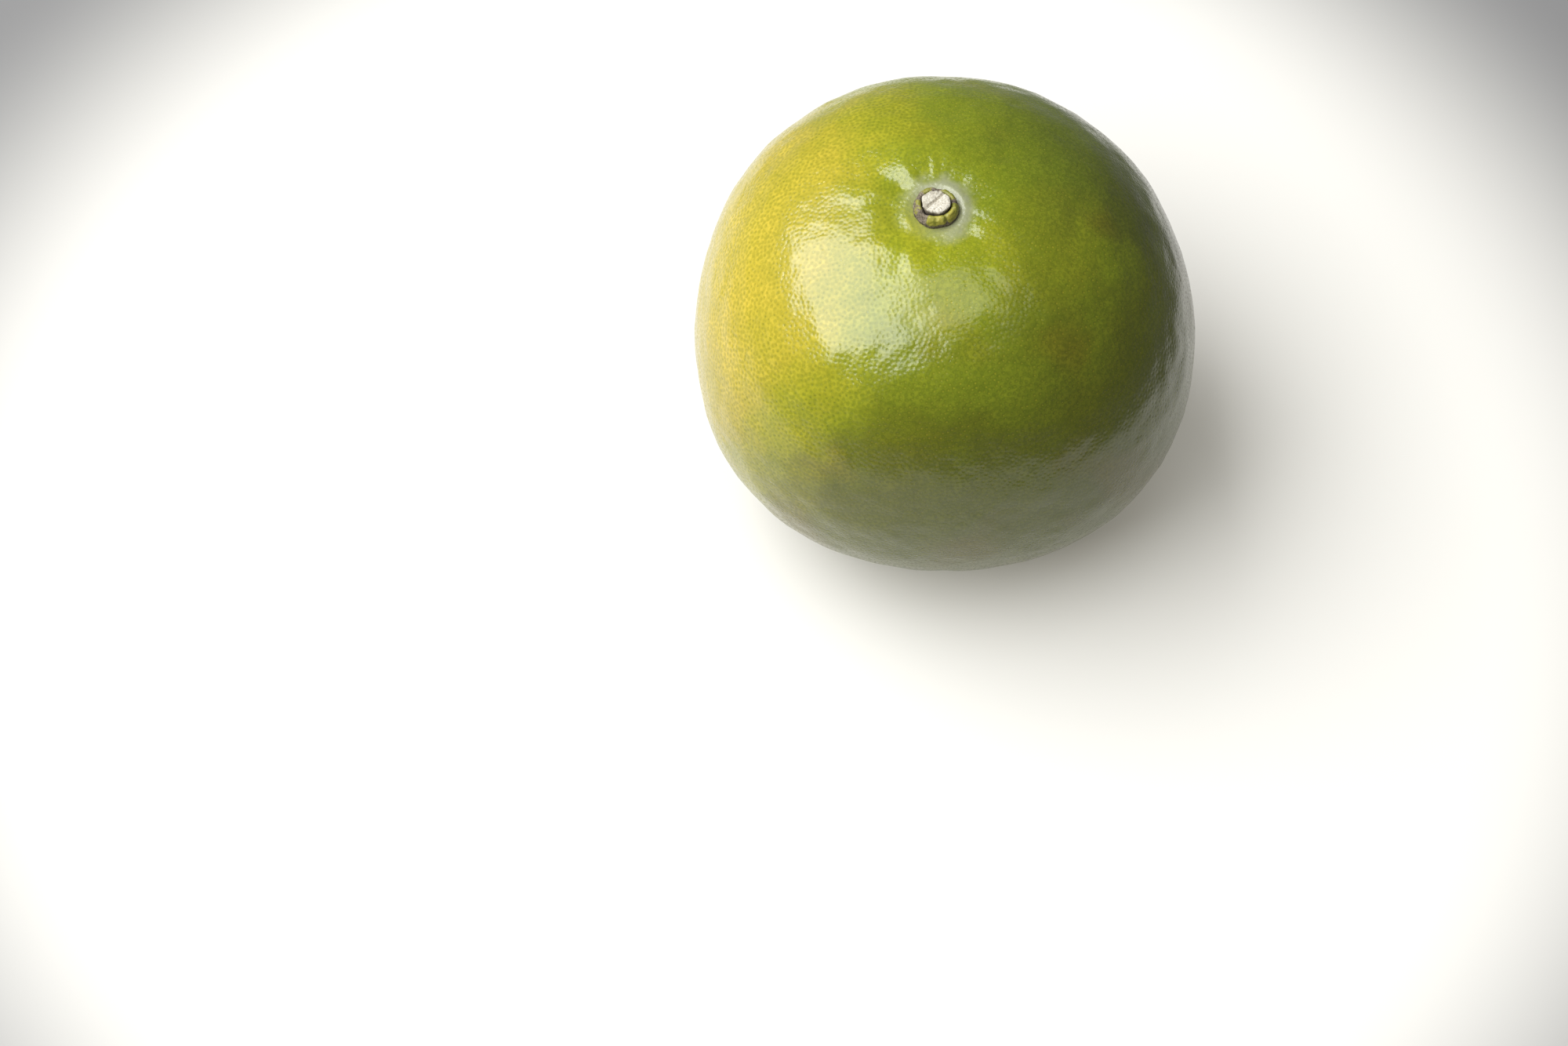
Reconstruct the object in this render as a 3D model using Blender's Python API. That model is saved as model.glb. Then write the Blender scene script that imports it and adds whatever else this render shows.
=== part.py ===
"""A whole green orange, as picked, standing on the small flat spot at its blossom end.

It has three pieces: the fruit in its skin, the calyx, which is a ring of five joined sepals in a
shallow dimple at the stem end, and the cut stub of the stem inside that ring. The origin is the
middle of the rest spot, with +Z up and the fruit's greener flank at +X.
"""

import math

import bmesh
import bpy
from mathutils import Matrix, Vector

# Overall sizes, in metres. The height is from the rest spot to the crown, before the dimple.
FRUIT_WIDTH = 0.0729
FRUIT_DEPTH = 0.0712
FRUIT_HEIGHT = 0.0638
REST_SPOT_RADIUS = 0.0090

# The stem end: where it lies beside the fruit's own axis, and the dimple that it sits in.
STEM_X = -0.0023
STEM_Y = -0.0018
DIMPLE_DEPTH = 0.0012
DIMPLE_RADIUS = 0.0105
SEAT_MARGIN = 0.0004
SEAT_GAP = 0.0003

# The calyx, a low ring of five joined sepals.
CALYX_RADIUS = 0.0033
CALYX_HEIGHT = 0.0017
CALYX_CORNER = 0.0008
SEPALS = 5
SEPAL_TURN = math.radians(10.0)
CLEFT_DEPTH = 0.0003

# The cut stem, standing a little above the calyx.
STUB_RADIUS = 0.0021
STUB_HEIGHT = 0.0022
STUB_CHAMFER = 0.0002
STUB_CLEARANCE = 0.0003

# How the fruit leaves a true ball, as shares of its radius.
END_FLATNESS = -0.054
UPPER_FULLNESS = 0.018
SHOULDER_FULLNESS = -0.048
OVALITY = 0.013
OVALITY_TURN = math.radians(-10.0)
THREE_SIDEDNESS = 0.0145
THREE_SIDED_TURN = math.radians(-28.0)
FOUR_SIDEDNESS = 0.0096
FOUR_SIDED_TURN = math.radians(45.0)
LEAN = 0.012
LEAN_TURN = math.radians(214.0)

# How finely the surfaces are divided.
FRUIT_MERIDIANS = 84
FRUIT_RINGS = 42
RING_CROWDING = 0.45
STEM_STEPS = 60
CORNER_STEPS = 4

fruit_collection = bpy.data.collections.new("orange")


def clear_scene():
    for item in list(bpy.data.objects):
        bpy.data.objects.remove(item, do_unlink=True)
    bpy.context.scene.collection.children.link(fruit_collection)


def make_material(name, colour, roughness):
    material = bpy.data.materials.new(name)
    material.use_nodes = True
    shader = material.node_tree.nodes["Principled BSDF"]
    shader.inputs["Base Color"].default_value = (*colour, 1.0)
    shader.inputs["Roughness"].default_value = roughness
    shader.inputs["Metallic"].default_value = 0.0
    material.diffuse_color = (*colour, 1.0)
    return material


def add_object(name, bm, material):
    """Write the mesh out as a named object with smooth sides, in the fruit's collection."""
    bmesh.ops.recalc_face_normals(bm, faces=bm.faces)
    mesh = bpy.data.meshes.new(name)
    bm.to_mesh(mesh)
    bm.free()
    mesh.materials.append(material)
    mesh.shade_smooth()
    item = bpy.data.objects.new(name, mesh)
    fruit_collection.objects.link(item)
    return item


def smooth_step(low, high, value):
    share = min(max((value - low) / (high - low), 0.0), 1.0)
    return share * share * (3.0 - 2.0 * share)


def fruit_radius(direction):
    """The skin's distance from the fruit's middle along a unit direction, where a ball has 1."""
    rise = direction.z
    side = math.hypot(direction.x, direction.y)
    turn = math.atan2(direction.y, direction.x)
    radius = 1.0
    radius += END_FLATNESS * (3 * rise**2 - 1) / 2
    radius += UPPER_FULLNESS * (5 * rise**3 - 3 * rise) / 2
    radius += SHOULDER_FULLNESS * (35 * rise**4 - 30 * rise**2 + 3) / 8
    radius += OVALITY * side**2 * math.cos(2 * (turn - OVALITY_TURN))
    radius += THREE_SIDEDNESS * side**3 * math.cos(3 * (turn - THREE_SIDED_TURN))
    radius += FOUR_SIDEDNESS * side**4 * math.cos(4 * (turn - FOUR_SIDED_TURN))
    radius += LEAN * side * rise * math.cos(turn - LEAN_TURN)
    return radius


def crowded_ball():
    """A unit ball whose pole points at the stem, with its rings crowded towards both ends."""
    bm = bmesh.new()
    bmesh.ops.create_uvsphere(bm, u_segments=FRUIT_MERIDIANS, v_segments=FRUIT_RINGS, radius=1.0)
    for vert in bm.verts:
        polar = math.acos(min(max(vert.co.z, -1.0), 1.0))
        turn = math.atan2(vert.co.y, vert.co.x)
        polar -= RING_CROWDING * math.sin(2 * polar) / 2
        side = math.sin(polar)
        vert.co = (side * math.cos(turn), side * math.sin(turn), math.cos(polar))
    stem_end = Vector((STEM_X, STEM_Y, FRUIT_HEIGHT / 2)).normalized()
    tilt = Vector((0, 0, 1)).rotation_difference(stem_end).to_matrix().to_4x4()
    bmesh.ops.transform(bm, matrix=tilt, verts=bm.verts)
    return bm


def scale_to(bm, axis, size):
    """Stretch the mesh along one axis to a given size."""
    reach = [vert.co[axis] for vert in bm.verts]
    factors = [1.0, 1.0, 1.0]
    factors[axis] = size / (max(reach) - min(reach))
    bmesh.ops.scale(bm, vec=factors, verts=bm.verts)


def rest_level(bm):
    """The mean height of the underside just round the edge of the rest spot."""
    underside = [vert.co for vert in bm.verts if vert.co.z < 0]
    away = [abs(math.hypot(co.x, co.y) - REST_SPOT_RADIUS) for co in underside]
    nearest = sorted(range(len(underside)), key=away.__getitem__)[:FRUIT_MERIDIANS]
    return sum(underside[i].z for i in nearest) / len(nearest)


def press_rest_spot(bm):
    """Cut the underside off level and close it with one flat face."""
    bmesh.ops.bisect_plane(
        bm,
        geom=bm.verts[:] + bm.edges[:] + bm.faces[:],
        plane_co=(0, 0, rest_level(bm)),
        plane_no=(0, 0, 1),
        clear_inner=True,
    )
    rim = [edge for edge in bm.edges if edge.is_boundary]
    bmesh.ops.edgeloop_fill(bm, edges=rim)


def stand_on_floor(bm):
    lowest = min(vert.co.z for vert in bm.verts)
    bmesh.ops.translate(bm, vec=(0, 0, -lowest), verts=bm.verts)


def seat_radius():
    return CALYX_RADIUS + SEAT_MARGIN


def seat_level(bm):
    """The height of the flat seat at the bottom of the dimple."""
    stem = Vector((STEM_X, STEM_Y))
    crown = [vert.co for vert in bm.verts if vert.co.z > FRUIT_HEIGHT / 2]
    nearest = min(crown, key=lambda co: (co.xy - stem).length)
    return nearest.z - DIMPLE_DEPTH


def press_dimple(bm, level):
    """Lower the skin round the stem to a flat seat, with a soft rim."""
    stem = Vector((STEM_X, STEM_Y))
    for vert in bm.verts:
        if vert.co.z < FRUIT_HEIGHT / 2:
            continue
        away = (vert.co.xy - stem).length
        keep = smooth_step(seat_radius(), DIMPLE_RADIUS, away)
        vert.co.z = level + (vert.co.z - level) * keep


def build_fruit(material):
    bm = crowded_ball()
    for vert in bm.verts:
        vert.co *= fruit_radius(vert.co)
    scale_to(bm, 0, FRUIT_WIDTH)
    scale_to(bm, 1, FRUIT_DEPTH)
    press_rest_spot(bm)
    scale_to(bm, 2, FRUIT_HEIGHT)
    stand_on_floor(bm)
    level = seat_level(bm)
    press_dimple(bm, level)
    add_object("fruit", bm, material)
    return level


def corner_points(centre_x, centre_z, radius, start, end):
    """An arc of profile points from one angle to another, in the XZ plane."""
    points = []
    for step in range(CORNER_STEPS + 1):
        angle = start + (end - start) * step / CORNER_STEPS
        points.append((centre_x + radius * math.cos(angle), centre_z + radius * math.sin(angle)))
    return points


def spin_profile(points, closed):
    """Turn a profile in the XZ plane once round the Z axis."""
    bm = bmesh.new()
    verts = [bm.verts.new((x, 0, z)) for x, z in points]
    pairs = list(zip(verts, verts[1:]))
    if closed:
        pairs.append((verts[-1], verts[0]))
    edges = [bm.edges.new(pair) for pair in pairs]
    bmesh.ops.spin(
        bm,
        geom=verts + edges,
        cent=(0, 0, 0),
        axis=(0, 0, 1),
        angle=math.tau,
        steps=STEM_STEPS,
        use_merge=True,
    )
    bmesh.ops.remove_doubles(bm, verts=bm.verts, dist=0.000001)
    return bm


def cleft_share(turn):
    """0 in the middle of a sepal and 1 in the cleft between two of them."""
    wave = math.cos(SEPALS * (turn - SEPAL_TURN))
    return ((1.0 - wave) / 2) ** 3


def build_calyx(material, level):
    """A bun-shaped ring round the stub, drawn in and lowered at the clefts between sepals."""
    inner = STUB_RADIUS + STUB_CLEARANCE
    crown = CALYX_HEIGHT - CALYX_CORNER
    points = [(inner, 0.0), (CALYX_RADIUS - CALYX_CORNER / 2, 0.0)]
    points += [(CALYX_RADIUS, CALYX_CORNER / 2)]
    points += corner_points(CALYX_RADIUS - CALYX_CORNER, crown, CALYX_CORNER, 0.0, math.pi / 2)
    points += [(inner, CALYX_HEIGHT - CALYX_CORNER / 4)]
    bm = spin_profile(points, closed=True)
    for vert in bm.verts:
        turn = math.atan2(vert.co.y, vert.co.x)
        away = math.hypot(vert.co.x, vert.co.y)
        share = cleft_share(turn)
        outer_share = (away - inner) / (CALYX_RADIUS - inner)
        narrowed = away - CLEFT_DEPTH * share * outer_share
        lowered = vert.co.z * (1.0 - CLEFT_DEPTH / CALYX_HEIGHT * share)
        vert.co = (narrowed * math.cos(turn), narrowed * math.sin(turn), lowered)
    calyx = add_object("calyx", bm, material)
    calyx.matrix_world = Matrix.Translation((STEM_X, STEM_Y, level + SEAT_GAP))


def build_stem_stub(material, level):
    """The short round stem, cut off level just above the calyx."""
    top = STUB_HEIGHT
    points = [(0.0, 0.0), (STUB_RADIUS, 0.0), (STUB_RADIUS, top - STUB_CHAMFER)]
    points += [(STUB_RADIUS - STUB_CHAMFER, top), (0.0, top)]
    bm = spin_profile(points, closed=False)
    stub = add_object("stem_stub", bm, material)
    stub.matrix_world = Matrix.Translation((STEM_X, STEM_Y, level + SEAT_GAP))


def build_orange():
    clear_scene()
    rind = make_material("rind", (0.22, 0.30, 0.02), 0.3)
    sepal = make_material("sepal", (0.25, 0.22, 0.06), 0.7)
    cut_wood = make_material("cut_wood", (0.70, 0.64, 0.50), 0.8)
    level = build_fruit(rind)
    build_calyx(sepal, level)
    build_stem_stub(cut_wood, level)


build_orange()
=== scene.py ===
"""A whole green orange on a pale floor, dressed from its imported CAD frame.

The skin is a fine mesh whose points are laid out round the oil glands, so that each gland is a
real pit. The calyx and the cut stem are sculpted by formula. Every material is procedural.
Lengths are in metres, and +Z is up.
"""

import math

import bmesh
import bpy
import numpy as np
from mathutils import Matrix, Vector, kdtree


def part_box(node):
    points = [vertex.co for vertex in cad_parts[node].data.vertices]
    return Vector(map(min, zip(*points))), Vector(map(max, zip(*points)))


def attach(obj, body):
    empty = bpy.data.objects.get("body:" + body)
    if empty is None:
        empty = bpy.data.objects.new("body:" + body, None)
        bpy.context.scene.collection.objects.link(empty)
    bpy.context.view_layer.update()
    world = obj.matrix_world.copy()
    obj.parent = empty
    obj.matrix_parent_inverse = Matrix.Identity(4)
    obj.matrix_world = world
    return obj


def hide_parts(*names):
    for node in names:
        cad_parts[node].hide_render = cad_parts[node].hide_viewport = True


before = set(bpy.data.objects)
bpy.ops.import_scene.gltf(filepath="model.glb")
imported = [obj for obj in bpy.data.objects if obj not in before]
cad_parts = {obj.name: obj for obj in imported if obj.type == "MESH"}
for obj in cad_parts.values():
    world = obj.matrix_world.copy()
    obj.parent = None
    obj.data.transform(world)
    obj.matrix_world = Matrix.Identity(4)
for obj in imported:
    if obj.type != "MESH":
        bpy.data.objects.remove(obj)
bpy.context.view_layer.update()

MM = 0.001
SEED = 7

# The fruit's own shape, as the CAD has it: how it leaves a true ball, as shares of its radius.
END_FLATNESS = -0.054
UPPER_FULLNESS = 0.018
SHOULDER_FULLNESS = -0.048
OVALITY = 0.013
OVALITY_TURN = math.radians(-10.0)
THREE_SIDEDNESS = 0.0145
THREE_SIDED_TURN = math.radians(-28.0)
FOUR_SIDEDNESS = 0.0096
FOUR_SIDED_TURN = math.radians(45.0)
LEAN = 0.012
LEAN_TURN = math.radians(214.0)

# The stem end and the rest spot, as the CAD has them.
FRUIT_HEIGHT = 63.8 * MM
REST_SPOT_RADIUS = 9.0 * MM
DIMPLE_DEPTH = 1.2 * MM
DIMPLE_RADIUS = 10.5 * MM
SEAT_MARGIN = 0.4 * MM

# The skin's oil glands. They are laid out along a spiral, scattered off it, and then pushed apart
# again. Each takes an area of skin that is given as a share of the square of their spacing.
GLAND_SPACING = 0.78 * MM
GLAND_AREA = 0.866
GLAND_SCATTER = 0.6
GLAND_REACH = 1.15
GLAND_PUSH = 0.35
GLAND_PUSHES = 4
GLAND_SPLITS = 3
GLAND_SIZES = (0.35, 1.25)
PIT_DEPTH = 0.043 * MM
PIT_RADIUS = 0.26 * MM

# The skin's broad swellings, the edge of its rest spot and the scar in it.
SWELLINGS = (
    # height, width, seed
    (0.15 * MM, 9.0 * MM, 1),
    (0.11 * MM, 4.2 * MM, 2),
    (0.058 * MM, 1.9 * MM, 3),
)
REST_EDGE = 0.4 * MM
SCAR_RADIUS = 1.5 * MM
SCAR_DEPTH = 0.4 * MM

# The skin round the stem: a lip and a broader collar, both highest at one turn, and the fine
# flutes and broad furrows that run away from the stem.
LIP_TURN = math.radians(40.0)
LIP_HEIGHT = 0.34 * MM
LIP_RADIUS = 4.1 * MM
LIP_WIDTH = 0.75 * MM
COLLAR_HEIGHT = 0.50 * MM
COLLAR_RADIUS = 5.0 * MM
COLLAR_WIDTH = 3.2 * MM
FLUTE_HEIGHT = 0.17 * MM
FLUTE_END = (9.0 * MM, 21.0 * MM)
FURROW_START = (4.2 * MM, 6.5 * MM)
FURROWS = (
    # turn in degrees, half width in degrees, depth, how far from the stem it ends
    (140.0, 15.0, 0.50 * MM, 17.0 * MM),
    (176.0, 20.0, 0.36 * MM, 17.0 * MM),
    (211.0, 18.0, 0.36 * MM, 13.5 * MM),
    (262.0, 10.0, 0.16 * MM, 11.0 * MM),
    (318.0, 12.0, 0.20 * MM, 13.0 * MM),
    (20.0, 16.0, 0.16 * MM, 12.0 * MM),
    (75.0, 13.0, 0.14 * MM, 10.0 * MM),
)

# The calyx: how finely it is divided, its hole as a share of its radius, the side that has dried
# most, the depth of cleft that is corky all over, its crumples, and the clefts between its sepals.
CALYX_STEPS = 240
CALYX_HOLE = 0.60
DRY_TURN = math.radians(115.0)
CORKY_DEPTH = 0.25 * MM
CRUMPLES = (
    # height, width, seed
    (0.09 * MM, 0.9 * MM, 21),
    (0.05 * MM, 0.35 * MM, 22),
    (0.02 * MM, 0.14 * MM, 23),
)
CLEFTS = (
    # turn in degrees, half width in degrees, depth
    (8.0, 7.0, 0.22 * MM),
    (86.0, 9.0, 0.25 * MM),
    (152.0, 9.0, 0.30 * MM),
    (226.0, 13.0, 0.60 * MM),
    (300.0, 5.0, 0.12 * MM),
)

# The cut stem: its slimness beside the CAD's, the groove and step across its face, and the ends
# of its fibres.
STUB_SHARE = 0.91
STUB_STEPS = 120
GROOVE_PLACE = 0.15 * MM
GROOVE_WIDTH = 0.22 * MM
GROOVE_DEPTH = 0.16 * MM
STEP_DEPTH = 0.10 * MM
FIBRES = (
    # height, width, seed
    (0.05 * MM, 0.22 * MM, 31),
    (0.03 * MM, 0.1 * MM, 32),
)

# The rind's colours from green to gold, by ripeness, and the pale skin round the calyx.
RIND_COLOURS = (
    (0.25, (0.104, 0.134, 0.004)),
    (0.53, (0.113, 0.143, 0.005)),
    (0.68, (0.136, 0.164, 0.006)),
    (0.755, (0.180, 0.202, 0.008)),
    (0.815, (0.238, 0.234, 0.011)),
    (0.89, (0.308, 0.261, 0.019)),
    (0.97, (0.354, 0.288, 0.026)),
)
HALO_COLOUR = (0.26, 0.27, 0.175)

# Patches of skin that are darker or paler than the rest: some are the rind's own tone, and two are
# painted shade, as marked.
SKIN_PATCHES_AND_PAINTED_SHADE = (
    # the way it faces, how far its border wanders, where it starts and is full, its share, its tint
    # partly a deeper green, partly painted shade on the side turned away from the key light
    ((0.66, 0.44, 0.61), 0.07, 0.74, 0.98, 1.0, (0.70, 0.72, 1.10)),
    ((0.40, -0.17, 0.90), 0.02, 0.95, 0.995, 1.0, (1.12, 1.05, 1.00)),
    ((-0.04, -0.36, 0.93), 0.015, 0.945, 0.985, 0.8, (1.42, 1.30, 1.15)),
    # painted shade: dims the skin where the key light's highlight falls
    ((-0.47, -0.20, 0.86), 0.0, 0.93, 0.985, 1.0, (0.88, 0.92, 1.0)),
)

# The floor, which is white in a painted pool of light under the fruit and greyer where the painted
# pool has faded, and how bright the floor and the room are of themselves; the floor's painted glow
# lifts its shadow and fades with the pool.
FLOOR_RADIUS = 1.6
PAINTED_POOL_RADIUS = 105 * MM
PAINTED_POOL_FADE_RADIUS = 1.55 * PAINTED_POOL_RADIUS
PAINTED_POOL_COLOUR = (0.52, 0.515, 0.495)
PAINTED_FALLOFF_COLOUR = (0.16, 0.16, 0.16)
PAINTED_GLOW_COLOUR = (1.0, 0.95, 0.80)
BLACK = (0.0, 0.0, 0.0)
PAINTED_FLOOR_GLOW = 0.18
ROOM_BRIGHTNESS = 0.20

SOFTBOXES = (
    # name, the way to it from the fruit, distance, width, height, brightness
    ("key_softbox", (-0.565, -0.02, 0.81), 2.0, 2.72, 1.72, 7.0),
    ("overhead_softbox", (0.04, -0.08, 1.0), 2.2, 1.1, 1.1, 2.1),
)

# The camera, its lens in millimetres, and the point that it looks at.
CAMERA_LENS = 85.0
SENSOR_WIDTH = 36.0
CAMERA_DISTANCE = 0.5246
CAMERA_ELEVATION = math.radians(60.0)
AIM_LEFT = 23.3 * MM
AIM_NEAR = 33.4 * MM
AIM_HEIGHT = 30.9 * MM

# Where the calyx and the stem stand, from the frame.
calyx_low, calyx_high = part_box("calyx")
calyx_radius = (calyx_high.x - calyx_low.x) / 2
stub_low, stub_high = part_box("stem_stub")
stub_middle = (stub_low + stub_high) / 2
stem_place = Vector((stub_middle.x, stub_middle.y, stub_low.z))


# ---------------------------------------------------------------- small helpers


def smooth_step(low, high, value):
    share = np.clip((value - low) / (high - low), 0.0, 1.0)
    return share * share * (3.0 - 2.0 * share)


def soft_noise(points, size, seed):
    """Smooth noise from -1 to 1 at each point, with bumps about as wide as size."""
    table = np.random.default_rng(SEED + seed).uniform(-1.0, 1.0, (64, 64, 64))
    scaled = points / size
    corner = np.floor(scaled).astype(int)
    share = scaled - corner
    share = share * share * (3.0 - 2.0 * share)
    total = np.zeros(len(points))
    for offset in np.ndindex(2, 2, 2):
        cell = (corner + offset) & 63
        weight = np.prod(np.where(offset, share, 1.0 - share), axis=1)
        total += weight * table[cell[:, 0], cell[:, 1], cell[:, 2]]
    return total


def layered_noise(points, layers):
    """The sum of several layers of soft noise, each with its own height, width and seed."""
    total = np.zeros(len(points))
    for height, width, seed in layers:
        total += height * soft_noise(points, width, seed)
    return total


def read_vectors(items, field):
    values = np.empty(len(items) * 3)
    items.foreach_get(field, values)
    return values.reshape(-1, 3)


def add_attribute(mesh, name, values):
    attribute = mesh.attributes.new(name, "FLOAT", "POINT")
    attribute.data.foreach_set("value", np.asarray(values, np.float32))


def link_object(name, mesh, material):
    mesh.materials.clear()
    mesh.materials.append(material)
    mesh.shade_smooth()
    item = bpy.data.objects.new(name, mesh)
    bpy.context.scene.collection.objects.link(item)
    return item


# ---------------------------------------------------------------- node helpers


class Shader:
    """A material's node tree, with one short method for each kind of node that it needs."""

    def __init__(self, name):
        self.material = bpy.data.materials.new(name)
        self.material.use_nodes = True
        self.tree = self.material.node_tree
        self.surface = self.tree.nodes["Principled BSDF"]

    def add(self, kind, **settings):
        node = self.tree.nodes.new(kind)
        for name, value in settings.items():
            setattr(node, name, value)
        return node

    def feed(self, socket, value):
        """Link an output into a socket, or set a plain number or colour on it."""
        if isinstance(value, bpy.types.NodeSocket):
            self.tree.links.new(value, socket)
        elif isinstance(value, tuple) and len(value) == 3 and socket.type == "RGBA":
            socket.default_value = (*value, 1.0)
        else:
            socket.default_value = value

    def position(self):
        return self.add("ShaderNodeTexCoord").outputs["Object"]

    def attribute(self, name):
        return self.add("ShaderNodeAttribute", attribute_name=name).outputs["Fac"]

    def maths(self, operation, first, second=0.0, clamp=False):
        node = self.add("ShaderNodeMath", operation=operation, use_clamp=clamp)
        self.feed(node.inputs[0], first)
        self.feed(node.inputs[1], second)
        return node.outputs[0]

    def vector(self, operation, first, second=(0.0, 0.0, 0.0)):
        node = self.add("ShaderNodeVectorMath", operation=operation)
        self.feed(node.inputs[0], first)
        self.feed(node.inputs[1], second)
        return node.outputs["Value" if operation in ("DOT_PRODUCT", "DISTANCE") else "Vector"]

    def noise(self, place, size, detail=2.0, roughness=0.5):
        """Noise from 0 to 1 with bumps about as wide as size."""
        node = self.add("ShaderNodeTexNoise")
        self.feed(node.inputs["Vector"], place)
        self.feed(node.inputs["Scale"], 1.0 / size)
        self.feed(node.inputs["Detail"], detail)
        self.feed(node.inputs["Roughness"], roughness)
        return node.outputs["Fac"]

    def spread(self, value, low, high, to_low=0.0, to_high=1.0):
        """The value mapped smoothly from one range to another, and held at its ends."""
        node = self.add("ShaderNodeMapRange", interpolation_type="SMOOTHSTEP")
        for socket, number in zip(node.inputs, (value, low, high, to_low, to_high)):
            self.feed(socket, number)
        return node.outputs["Result"]

    def mix(self, share, first, second, blend="MIX"):
        node = self.add("ShaderNodeMix", data_type="RGBA", blend_type=blend)
        self.feed(node.inputs["Factor"], share)
        self.feed(node.inputs[6], first)
        self.feed(node.inputs[7], second)
        return node.outputs[2]

    def tint(self, colour, factors):
        """The colour with each of its channels multiplied by a factor."""
        return self.mix(1.0, colour, factors, "MULTIPLY")

    def wander(self, value, noise, reach, low=0.3, high=0.7):
        """The value moved up or down by as much as reach, as the noise goes."""
        return self.maths("ADD", value, self.spread(noise, low, high, -reach, reach))

    def ramp(self, value, stops):
        node = self.add("ShaderNodeValToRGB")
        node.color_ramp.interpolation = "LINEAR"
        elements = node.color_ramp.elements
        while len(elements) < len(stops):
            elements.new(0.5)
        for element, (place, colour) in zip(elements, stops):
            element.position = place
            element.color = (*colour, 1.0)
        self.feed(node.inputs["Fac"], value)
        return node.outputs["Color"]

    def bump(self, height, depth):
        """A normal that rises and falls by depth as height goes from 0 to 1."""
        node = self.add("ShaderNodeBump")
        self.feed(node.inputs["Height"], height)
        self.feed(node.inputs["Distance"], depth)
        return node.outputs["Normal"]

    def finish(self, colour, roughness, normal=None, **constants):
        self.feed(self.surface.inputs["Base Color"], colour)
        self.feed(self.surface.inputs["Roughness"], roughness)
        if normal is not None:
            self.feed(self.surface.inputs["Normal"], normal)
        for name, value in constants.items():
            self.feed(self.surface.inputs[name.replace("_", " ")], value)
        return self.material


# ---------------------------------------------------------------- the fruit's shape


def fruit_radius(directions):
    """The skin's distance from the fruit's middle along unit directions, where a ball has 1."""
    rise = directions[:, 2]
    side = np.hypot(directions[:, 0], directions[:, 1])
    turn = np.arctan2(directions[:, 1], directions[:, 0])
    radius = np.ones(len(directions))
    radius += END_FLATNESS * (3 * rise**2 - 1) / 2
    radius += UPPER_FULLNESS * (5 * rise**3 - 3 * rise) / 2
    radius += SHOULDER_FULLNESS * (35 * rise**4 - 30 * rise**2 + 3) / 8
    radius += OVALITY * side**2 * np.cos(2 * (turn - OVALITY_TURN))
    radius += THREE_SIDEDNESS * side**3 * np.cos(3 * (turn - THREE_SIDED_TURN))
    radius += FOUR_SIDEDNESS * side**4 * np.cos(4 * (turn - FOUR_SIDED_TURN))
    radius += LEAN * side * rise * np.cos(turn - LEAN_TURN)
    return radius


def even_directions(count):
    """Unit directions spread evenly over a ball, but not in rows."""
    rng = np.random.default_rng(SEED)
    spacing = math.sqrt(4 * math.pi / count / GLAND_AREA)
    step = np.arange(count) + 0.5
    rise = 1 - 2 * step / count
    turn = step * math.pi * (3 - math.sqrt(5))
    side = np.sqrt(1 - rise * rise)
    points = np.stack([side * np.cos(turn), side * np.sin(turn), rise], axis=1)
    points += rng.normal(0.0, GLAND_SCATTER * spacing, points.shape)
    points /= np.linalg.norm(points, axis=1)[:, None]
    for _ in range(GLAND_PUSHES):
        points = pushed_apart(points, GLAND_REACH * spacing)
    return points


def pushed_apart(points, reach, neighbours=6):
    """Each point moved a little away from its neighbours within reach, on the unit ball."""
    tree = tree_of(points)
    near = [[found[1] for found in tree.find_n(point, neighbours + 1)] for point in points]
    away = points[:, None, :] - points[np.array(near)[:, 1:]]
    distance = np.maximum(np.linalg.norm(away, axis=2, keepdims=True), 1e-9)
    push = (away / distance * np.maximum(reach - distance, 0.0)).sum(axis=1)
    moved = points + GLAND_PUSH * push
    return moved / np.linalg.norm(moved, axis=1)[:, None]


def tree_of(points):
    tree = kdtree.KDTree(len(points))
    for index, point in enumerate(points):
        tree.insert(point, index)
    tree.balance()
    return tree


def gland_mesh(glands):
    """A closed ball whose triangles join neighbouring glands, each split finely."""
    bm = bmesh.new()
    for direction in glands:
        bm.verts.new(direction)
    bmesh.ops.convex_hull(bm, input=bm.verts)
    bmesh.ops.subdivide_edges(bm, edges=bm.edges, cuts=GLAND_SPLITS, use_grid_fill=True)
    bmesh.ops.recalc_face_normals(bm, faces=bm.faces)
    mesh = bpy.data.meshes.new("fruit_skin")
    bm.to_mesh(mesh)
    bm.free()
    return mesh


def pressed_level(height):
    """Heights below zero raised to zero, with a soft edge."""
    share = np.clip(0.5 + 0.5 * height / REST_EDGE, 0.0, 1.0)
    return height * share + REST_EDGE * share * (1 - share)


def body_points(directions, low, high):
    """The smooth fruit between the CAD's corners, pressed flat where it rests."""
    points = directions * fruit_radius(directions)[:, None]
    size = high - low
    for axis in (0, 1):
        points[:, axis] *= size[axis] / np.ptp(points[:, axis])
    points[:, 2] *= size[0] / np.ptp(directions[:, 0])
    away = np.hypot(points[:, 0], points[:, 1])
    edge = (points[:, 2] < 0) & (np.abs(away - REST_SPOT_RADIUS) < GLAND_SPACING)
    points[:, 2] = pressed_level(points[:, 2] - points[edge, 2].mean())
    points[:, 2] *= FRUIT_HEIGHT / np.ptp(points[:, 2])
    return points


def from_stem(points, stem):
    """Each point's distance and direction from the stem, seen from above, in metres and radians."""
    across = points[:, :2] - stem[:2]
    away = np.linalg.norm(across, axis=1)
    return away, np.arctan2(across[:, 1], across[:, 0])


def pressed_dimple(points, stem):
    """The skin round the stem lowered to its seat, just outside the calyx."""
    away, _ = from_stem(points, stem)
    upper = points[:, 2] > FRUIT_HEIGHT / 2
    top = points[upper & (away < GLAND_SPACING), 2].mean()
    level = top - DIMPLE_DEPTH
    keep = smooth_step(calyx_radius + SEAT_MARGIN, DIMPLE_RADIUS, away)
    lowered = level + (points[:, 2] - level) * keep
    points[:, 2] = np.where(upper, lowered, points[:, 2])
    return points


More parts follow.
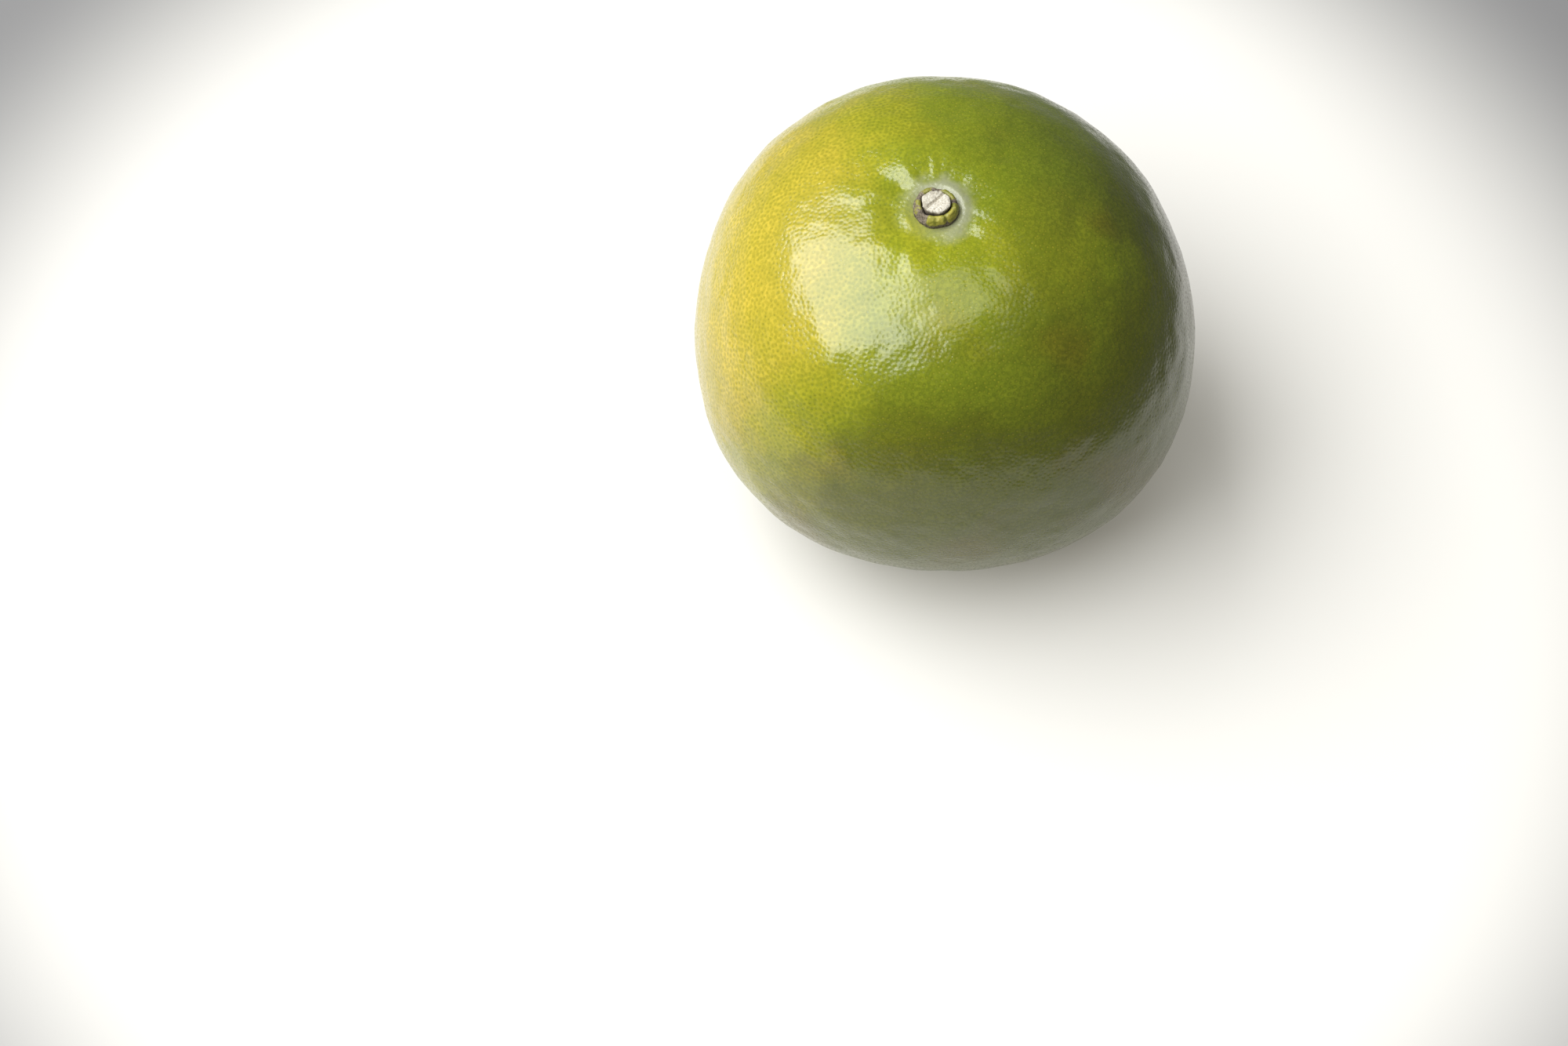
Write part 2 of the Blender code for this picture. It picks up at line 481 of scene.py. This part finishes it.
def stem_end_relief(points, stem):
    """How far the skin rises or falls round the stem: its lip, collar, furrows and flutes."""
    away, turn = from_stem(points, stem)
    near_top = smooth_step(0.55, 0.75, points[:, 2] / FRUIT_HEIGHT)
    towards_lip = np.cos(turn - LIP_TURN)
    lip = LIP_HEIGHT * np.exp(-(((away - LIP_RADIUS) / LIP_WIDTH) ** 2))
    collar = COLLAR_HEIGHT * np.exp(-(((away - COLLAR_RADIUS) / COLLAR_WIDTH) ** 2))
    relief = lip * (0.6 + 0.4 * towards_lip) + collar * (0.5 + 0.5 * towards_lip)
    start = smooth_step(*FURROW_START, away)
    for degrees, width, depth, end in FURROWS:
        apart = np.angle(np.exp(1j * (turn - math.radians(degrees))))
        across = np.exp(-((apart / math.radians(width)) ** 2))
        relief = relief - depth * across * start * (1 - smooth_step(end / 2, end, away))
    round_stem = np.stack([np.cos(turn), np.sin(turn), away / (26.0 * MM)], axis=1)
    flutes = soft_noise(round_stem, 0.26, 11) + 0.45 * soft_noise(round_stem, 0.11, 12)
    flutes *= 0.35 + 0.65 * smooth_step(-0.3, 0.5, soft_noise(round_stem, 0.9, 13))
    reach = start * (1 - smooth_step(*FLUTE_END, away))
    return (relief + FLUTE_HEIGHT * flutes * reach) * near_top


def skin_relief(points, gland_distance, gland_size, stem):
    """How far the skin stands out from the smooth fruit at each point."""
    relief = layered_noise(points, SWELLINGS)
    relief -= PIT_DEPTH * gland_size * np.exp(-((gland_distance / PIT_RADIUS) ** 2))
    relief += stem_end_relief(points, stem)
    above_floor = smooth_step(0.0, 1.5 * MM, points[:, 2])
    underside = (points[:, 2] < 2 * REST_EDGE) * 1.0
    middle = np.hypot(points[:, 0], points[:, 1])
    scar = np.exp(-((middle / SCAR_RADIUS) ** 4)) * underside
    return relief * above_floor - SCAR_DEPTH * scar


def bake_map(mesh, directions):
    """Lay the skin out on six squares, one for each side of a cube round the fruit."""
    corner_vertex = np.empty(len(mesh.loops), np.int32)
    mesh.loops.foreach_get("vertex_index", corner_vertex)
    corners = directions[corner_vertex].reshape(-1, 3, 3)
    middle = corners.sum(axis=1)
    axis = np.abs(middle).argmax(axis=1)
    faces = np.arange(len(axis))
    positive = middle[faces, axis] > 0
    side = axis * 2 + positive
    main = corners[faces, :, axis]
    first = corners[faces, :, (axis + 1) % 3]
    second = corners[faces, :, (axis + 2) % 3]
    half_side = math.radians(47.0)
    across = np.arctan2(first, np.abs(main)) / half_side
    along = np.arctan2(second, np.abs(main)) / half_side
    column, row = (side % 3)[:, None], (side // 3)[:, None]
    places = np.stack([(column + 0.5 + across / 2) / 3, (row + 0.5 + along / 2) / 2], axis=2)
    layer = mesh.uv_layers.new(name="OFBake")
    layer.uv.foreach_set("vector", places.astype(np.float32).ravel())


def build_skin(material):
    """The fruit's skin, which stands for the CAD's fruit."""
    low, high = (np.array(corner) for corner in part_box("fruit"))
    area = math.pi * (high[0] - low[0]) ** 2
    glands = even_directions(round(area / (GLAND_SPACING**2 * GLAND_AREA)))
    mesh = gland_mesh(glands)
    directions = read_vectors(mesh.vertices, "co")
    directions /= np.linalg.norm(directions, axis=1)[:, None]
    points = pressed_dimple(body_points(directions, low, high), stem_place)

    mesh.vertices.foreach_set("co", points.ravel())
    mesh.update()
    normals = read_vectors(mesh.vertices, "normal")
    tree = tree_of(points[: len(glands)])
    nearest = [tree.find(point)[1:] for point in points]
    gland_index = np.array([found[0] for found in nearest])
    gland_distance = np.array([found[1] for found in nearest])
    sizes = np.random.default_rng(SEED + 1).uniform(*GLAND_SIZES, len(glands))
    relief = skin_relief(points, gland_distance, sizes[gland_index], stem_place)
    points += normals * relief[:, None]
    mesh.vertices.foreach_set("co", points.ravel())
    mesh.update()

    add_attribute(mesh, "gland_distance", gland_distance)
    add_attribute(mesh, "gland_size", sizes[gland_index])
    bake_map(mesh, directions)
    skin = link_object("fruit_skin", mesh, material)
    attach(skin, "root")
    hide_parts("fruit")


# ---------------------------------------------------------------- the rind's look


def rind_material():
    """Waxy citrus rind: green, ripening to gold on one side, with a fine net round its glands."""
    shader = Shader("rind")
    place = shader.position()
    centre = (0.0, 0.0, FRUIT_HEIGHT / 2)
    outward = shader.vector("NORMALIZE", shader.vector("SUBTRACT", place, centre))
    gland = shader.attribute("gland_distance")
    size = shader.attribute("gland_size")
    ripeness = ripeness_of(shader, place, outward)
    colour = shader.ramp(ripeness, RIND_COLOURS)
    colour = tones_and_painted_shade(shader, place, outward, ripeness, colour)
    colour = gland_colours(shader, place, ripeness, gland, size, colour)
    halo = stem_halo(shader, place)
    colour = shader.mix(halo, colour, HALO_COLOUR)
    grain = shader.noise(place, 0.22 * MM, detail=2.0)
    rough = shader.spread(grain, 0.3, 0.7, 0.14, 0.20)
    rough = shader.maths("ADD", rough, shader.spread(gland, 0.10 * MM, 0.28 * MM, 0.08, 0.0))
    rough = shader.maths("ADD", rough, shader.maths("MULTIPLY", halo, 0.10))
    normal = shader.bump(grain, 0.012 * MM)
    return shader.finish(colour, rough, normal, IOR=1.47, Specular_IOR_Level=0.58)


def ripeness_of(shader, place, outward):
    """0 on the green flank and 1 on the gold one, with an uneven border between them."""
    ripe_side = Vector((-0.93, 0.08, 0.33)).normalized()
    along = shader.vector("DOT_PRODUCT", outward, tuple(ripe_side))
    broad = shader.noise(place, 21 * MM, detail=2.0)
    patchy = shader.noise(place, 7 * MM, detail=3.0, roughness=0.55)
    along = shader.wander(along, broad, 0.045)
    along = shader.wander(along, patchy, 0.05)
    return shader.maths("MULTIPLY", shader.maths("ADD", along, 1.0), 0.5, clamp=True)


def tones_and_painted_shade(shader, place, outward, ripeness, colour):
    """The colour made deeper and browner low on the green side, partly its own tone and partly
    painted shade, with streaks and patches, some of them painted shade.
    """
    clouds = shader.noise(place, 11 * MM, detail=3.0, roughness=0.5)
    green = shader.spread(ripeness, 0.68, 0.82, 1.0, 0.10)
    # Painted shade in part: the green is darkened towards the underside, where less light falls.
    deep_green_and_shade_side = Vector((0.40, -0.24, -0.88)).normalized()
    depth = shader.vector("DOT_PRODUCT", outward, tuple(deep_green_and_shade_side))
    depth = shader.wander(depth, clouds, 0.16)
    share = shader.maths("MULTIPLY", green, shader.spread(depth, -0.68, -0.05, 0.0, 0.9))
    colour = shader.mix(share, colour, shader.tint(colour, (0.68, 0.60, 0.75)))
    streak = shader.noise(place, 16 * MM, detail=2.0, roughness=0.4)
    streak = shader.maths("MULTIPLY", green, shader.spread(streak, 0.52, 0.68))
    colour = shader.mix(streak, colour, shader.tint(colour, (1.12, 0.94, 0.90)))
    for facing, wander, start, full, most, tint in SKIN_PATCHES_AND_PAINTED_SHADE:
        nearness = shader.vector("DOT_PRODUCT", outward, tuple(Vector(facing).normalized()))
        nearness = shader.wander(nearness, clouds, wander)
        share = shader.spread(nearness, start, full, 0.0, most)
        colour = shader.mix(share, colour, shader.tint(colour, tint))
    return colour


def gland_colours(shader, place, ripeness, gland, size, colour):
    """Paler lines between the glands, and a fleck at each gland: olive on gold, gold on green."""
    waver = shader.noise(place, 0.5 * MM, detail=2.0)
    lines = shader.wander(gland, waver, 0.11 * MM, 0.25, 0.75)
    net = shader.spread(lines, 0.22 * MM, 0.42 * MM)
    patches = shader.noise(place, 4 * MM, detail=2.0)
    net = shader.maths("MULTIPLY", net, shader.spread(patches, 0.3, 0.7, 0.45, 1.0))
    pale = shader.tint(colour, (1.27, 1.22, 1.45))
    colour = shader.mix(net, shader.tint(colour, (0.95, 0.96, 0.92)), pale)
    dot = shader.spread(gland, 0.07 * MM, 0.20 * MM, 1.0, 0.0)
    dot = shader.maths("MULTIPLY", dot, shader.spread(size, *GLAND_SIZES, 0.1, 1.0))
    dot = shader.maths("MULTIPLY", dot, shader.spread(patches, 0.30, 0.62, 0.95, 0.45))
    fleck = shader.tint(colour, (1.85, 1.48, 2.0))
    olive = shader.tint(colour, (0.62, 0.68, 0.55))
    marked = shader.mix(shader.spread(ripeness, 0.64, 0.78), fleck, olive)
    colour = shader.mix(dot, colour, marked)
    mottle = shader.noise(place, 0.6 * MM, detail=3.0, roughness=0.65)
    dull = shader.tint(colour, (0.90, 0.93, 0.90))
    bright = shader.tint(colour, (1.08, 1.06, 1.08))
    return shader.mix(shader.spread(mottle, 0.35, 0.65), dull, bright)


def stem_halo(shader, place):
    """The share of pale, greyish skin round the calyx, with a ragged border."""
    away = shader.vector("DISTANCE", place, tuple(stem_place))
    away = shader.wander(away, shader.noise(place, 3.4 * MM, detail=3.0), 0.7 * MM)
    share = shader.spread(away, 4.0 * MM, 6.4 * MM, 0.8, 0.0)
    across = shader.vector("SUBTRACT", place, tuple(stem_place))
    palest_side = (0.85, 0.53, 0.0)
    side = shader.vector("DOT_PRODUCT", across, palest_side)
    return shader.maths("MULTIPLY", share, shader.spread(side, -5.0 * MM, 1.5 * MM, 0.12, 1.0))


# ---------------------------------------------------------------- calyx and stem


def spin_profile(name, points, steps):
    """Turn a profile in the XZ plane once round the Z axis, and return the mesh."""
    bm = bmesh.new()
    verts = [bm.verts.new((x, 0, z)) for x, z in points]
    edges = [bm.edges.new(pair) for pair in zip(verts, verts[1:])]
    if points[0][0] > 0:
        edges.append(bm.edges.new((verts[-1], verts[0])))
    bmesh.ops.spin(
        bm,
        geom=verts + edges,
        cent=(0, 0, 0),
        axis=(0, 0, 1),
        angle=math.tau,
        steps=steps,
        use_merge=True,
    )
    bmesh.ops.remove_doubles(bm, verts=bm.verts, dist=1e-7)
    bmesh.ops.recalc_face_normals(bm, faces=bm.faces)
    mesh = bpy.data.meshes.new(name)
    bm.to_mesh(mesh)
    bm.free()
    return mesh


def smooth_profile(knots, steps):
    """Points along straight runs between knots, rounded by averaging."""
    knots = np.array(knots)
    length = np.r_[0, np.cumsum(np.linalg.norm(np.diff(knots, axis=0), axis=1))]
    along = np.linspace(0, length[-1], steps)
    line = np.stack([np.interp(along, length, knots[:, axis]) for axis in (0, 1)], axis=1)
    for _ in range(6):
        line[1:-1] = (line[:-2] + 2 * line[1:-1] + line[2:]) / 4
    return line


def cleft_depth(turn):
    """How deep the cleft between two sepals is at each turn."""
    depth = np.zeros(len(turn))
    for degrees, width, deepest in CLEFTS:
        apart = np.angle(np.exp(1j * (turn - math.radians(degrees))))
        depth = np.maximum(depth, deepest * np.exp(-((apart / math.radians(width)) ** 2)))
    return depth


def build_calyx(material):
    """The ring of joined sepals, with corky clefts between them."""
    height = calyx_high.z - calyx_low.z
    inner = CALYX_HOLE * calyx_radius
    foot = -0.45 * MM
    knots = (
        (inner, foot),
        (0.93 * calyx_radius, foot),
        (0.97 * calyx_radius, 0.30 * height),
        (0.93 * calyx_radius, 0.72 * height),
        (0.82 * calyx_radius, 0.98 * height),
        (0.72 * calyx_radius, 1.00 * height),
        (0.63 * calyx_radius, 0.86 * height),
        (inner, 0.55 * height),
    )
    mesh = spin_profile("calyx_sepals", smooth_profile(knots, 44), CALYX_STEPS)
    points = read_vectors(mesh.vertices, "co")
    away = np.hypot(points[:, 0], points[:, 1])
    turn = np.arctan2(points[:, 1], points[:, 0])
    upper = smooth_step(0.1, 0.8, points[:, 2] / height)
    cleft = cleft_depth(turn)
    out = smooth_step(inner, calyx_radius, away)
    lobes = 1 + 0.025 * np.cos(2 * turn + 0.7) + 0.02 * np.cos(3 * turn)
    crumple = layered_noise(points, CRUMPLES)
    new_away = away * lobes - 0.5 * cleft * out * upper + crumple * out
    points[:, 2] += (crumple - 0.8 * cleft) * upper
    points[:, 0] = new_away * np.cos(turn)
    points[:, 1] = new_away * np.sin(turn)
    mesh.vertices.foreach_set("co", points.ravel())
    mesh.update()
    rim = 1 - smooth_step(0.05, 0.55, points[:, 2] / height)
    # painted shade: the throat mask darkens the sepals round the gap at the stem
    throat = 1 - smooth_step(0.64, 0.72, away / calyx_radius)
    dry = smooth_step(-0.8, 0.3, np.cos(turn - DRY_TURN))
    add_attribute(mesh, "cork", np.clip(cleft / CORKY_DEPTH + rim + 0.5 * dry, 0, 1))
    add_attribute(mesh, "throat", throat)
    calyx = link_object("calyx_sepals", mesh, material)
    calyx.matrix_world = Matrix.Translation((stem_place.x, stem_place.y, calyx_low.z))
    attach(calyx, "root")
    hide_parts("calyx")


def sepal_material():
    """Dried sepals: olive yellow in the middle of each, grey-brown and corky at their edges, with
    painted shade darkening the throat round the stem.
    """
    shader = Shader("sepal")
    place = shader.position()
    blotch = shader.noise(place, 1.1 * MM, detail=3.0, roughness=0.6)
    grain = shader.noise(place, 0.25 * MM, detail=3.0, roughness=0.65)
    deep_olive = (0.16, 0.165, 0.022)
    pale_olive = (0.33, 0.30, 0.05)
    dark_cork = (0.055, 0.042, 0.028)
    pale_cork = (0.20, 0.165, 0.12)
    painted_throat_shade_colour = (0.035, 0.026, 0.018)
    green = shader.mix(shader.spread(blotch, 0.35, 0.65), deep_olive, pale_olive)
    cork = shader.mix(shader.spread(grain, 0.35, 0.65), dark_cork, pale_cork)
    cork_edge = shader.wander(shader.attribute("cork"), blotch, 0.35)
    cork_share = shader.spread(cork_edge, 0.35, 0.75)
    colour = shader.mix(cork_share, green, cork)
    # painted shade in the throat, where the stem stands in the calyx's hole
    painted_throat_shade = shader.maths("MULTIPLY", shader.attribute("throat"), 0.38)
    colour = shader.mix(painted_throat_shade, colour, painted_throat_shade_colour)
    rough = shader.spread(cork_share, 0.0, 1.0, 0.42, 0.85)
    normal = shader.bump(grain, 0.05 * MM)
    return shader.finish(colour, rough, normal, IOR=1.45)


def build_stub(material):
    """The cut stem: a short round peg whose rough face has a slanting groove across it."""
    radius = STUB_SHARE * (stub_high.x - stub_low.x) / 2
    height = stub_high.z - stub_low.z
    foot = -0.2 * MM
    knots = (
        (0.0, foot),
        (0.98 * radius, foot),
        (1.00 * radius, 0.55 * height),
        (1.03 * radius, 0.90 * height),
        (0.99 * radius, 0.985 * height),
        (0.92 * radius, 1.00 * height),
        (0.0, 1.00 * height),
    )
    mesh = spin_profile("stem_cut", smooth_profile(knots, 60), STUB_STEPS)
    points = read_vectors(mesh.vertices, "co")
    away = np.hypot(points[:, 0], points[:, 1])
    turn = np.arctan2(points[:, 1], points[:, 0])
    top = smooth_step(0.80, 0.97, points[:, 2] / height)
    across = (points[:, 1] - points[:, 0]) / math.sqrt(2)
    groove = np.exp(-(((across - GROOVE_PLACE) / GROOVE_WIDTH) ** 2))
    step = smooth_step(-0.1 * MM, 0.35 * MM, across)
    fibre = layered_noise(points, FIBRES)
    points[:, 2] += top * (fibre - GROOVE_DEPTH * groove - STEP_DEPTH * step)
    edge = smooth_step(0.7, 1.0, away / radius)
    wall = 1 + edge * (0.03 * np.cos(2 * turn + 1.0) + 0.02 * np.cos(5 * turn))
    wall += edge * 0.06 * soft_noise(points * (1, 1, 0.35), 0.35 * MM, 33)
    points[:, :2] *= wall[:, None]
    mesh.vertices.foreach_set("co", points.ravel())
    mesh.update()
    add_attribute(mesh, "top", top)
    add_attribute(mesh, "groove", np.clip(groove + 0.45 * step, 0, 1) * top)
    # The depth mask carries painted shade at the stem's foot, down in the calyx's hole.
    add_attribute(mesh, "depth", 1 - smooth_step(0.45, 0.85, points[:, 2] / height))
    stub = link_object("stem_cut", mesh, material)
    stub.matrix_world = Matrix.Translation(stem_place)
    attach(stub, "root")
    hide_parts("stem_stub")


def cut_wood_material():
    """Pale dry wood, cut across: whitish on its face and greyer in the groove and down its side,
    with painted shade at its foot, down in the calyx's hole.
    """
    shader = Shader("cut_wood")
    place = shader.position()
    grain = shader.noise(place, 0.16 * MM, detail=3.0, roughness=0.6)
    blotch = shader.noise(place, 0.8 * MM, detail=2.0)
    dark_face = (0.36, 0.325, 0.25)
    pale_face = (0.60, 0.58, 0.50)
    groove_colour = (0.22, 0.195, 0.14)
    dark_bark = (0.10, 0.08, 0.055)
    pale_bark = (0.27, 0.235, 0.175)
    painted_foot_shade_colour = (0.045, 0.034, 0.024)
    face = shader.mix(shader.spread(grain, 0.35, 0.65), dark_face, pale_face)
    shade = shader.wander(shader.attribute("groove"), blotch, 0.2)
    face = shader.mix(shader.spread(shade, 0.15, 0.9, 0.0, 0.8), face, groove_colour)
    bark = shader.mix(shader.spread(grain, 0.35, 0.65), dark_bark, pale_bark)
    colour = shader.mix(shader.attribute("top"), bark, face)
    # painted shade at the foot of the stem
    colour = shader.mix(shader.attribute("depth"), colour, painted_foot_shade_colour)
    normal = shader.bump(grain, 0.04 * MM)
    return shader.finish(colour, 0.75, normal, IOR=1.45)


# ---------------------------------------------------------------- the studio


def build_floor():
    """A round floor, white in a painted pool of light under the fruit and greyer beyond it, with a
    painted glow that fades with the pool.
    """
    bpy.ops.mesh.primitive_circle_add(vertices=96, radius=FLOOR_RADIUS, fill_type="NGON")
    floor = bpy.context.object
    floor.name = "floor"
    shader = Shader("floor")
    # painted light: a pool of white round the fruit that fades to grey further out
    painted_pool_middle = (-AIM_LEFT, -AIM_NEAR / 2, 0.0)
    far = shader.vector("DISTANCE", shader.position(), painted_pool_middle)
    far = shader.spread(far, PAINTED_POOL_RADIUS, PAINTED_POOL_FADE_RADIUS)
    colour = shader.mix(far, PAINTED_POOL_COLOUR, PAINTED_FALLOFF_COLOUR)
    # painted light: the floor glows of itself to lift its shadow, and the glow fades with the pool
    painted_glow = shader.mix(far, PAINTED_GLOW_COLOUR, BLACK)
    material = shader.finish(colour, 0.65, Emission_Color=painted_glow, Emission_Strength=PAINTED_FLOOR_GLOW)
    floor.data.materials.append(material)


def add_softbox(name, direction, distance, width, height, brightness):
    """A rectangular light that faces the fruit, with the given brightness all over its face."""
    light = bpy.data.lights.new(name, "AREA")
    light.shape = "RECTANGLE"
    light.size = width
    light.size_y = height
    light.energy = brightness * math.pi * width * height
    item = bpy.data.objects.new(name, light)
    bpy.context.scene.collection.objects.link(item)
    aim = Vector((0.0, 0.0, FRUIT_HEIGHT / 2))
    towards = Vector(direction).normalized()
    item.location = aim + towards * distance
    item.rotation_euler = towards.to_track_quat("Z", "Y").to_euler()


def build_lights():
    """The two softboxes and the room, shown without any film look."""
    for softbox in SOFTBOXES:
        add_softbox(*softbox)
    build_world()
    bpy.context.scene.view_settings.view_transform = "Standard"


def build_world():
    """A dim, even room."""
    world = bpy.data.worlds.new("studio")
    world.use_nodes = True
    background = world.node_tree.nodes["Background"]
    white = (1.0, 1.0, 1.0, 1.0)
    background.inputs["Color"].default_value = white
    background.inputs["Strength"].default_value = ROOM_BRIGHTNESS
    bpy.context.scene.world = world


def build_camera():
    camera = bpy.data.cameras.new("camera")
    camera.lens = CAMERA_LENS
    camera.sensor_width = SENSOR_WIDTH
    item = bpy.data.objects.new("camera", camera)
    bpy.context.scene.collection.objects.link(item)
    aim = Vector((-AIM_LEFT, -AIM_NEAR, AIM_HEIGHT))
    back = Vector((0.0, -math.cos(CAMERA_ELEVATION), math.sin(CAMERA_ELEVATION)))
    item.location = aim + back * CAMERA_DISTANCE
    item.rotation_euler = back.to_track_quat("Z", "Y").to_euler()
    bpy.context.scene.camera = item


build_skin(rind_material())
build_calyx(sepal_material())
build_stub(cut_wood_material())
build_floor()
build_lights()
build_camera()
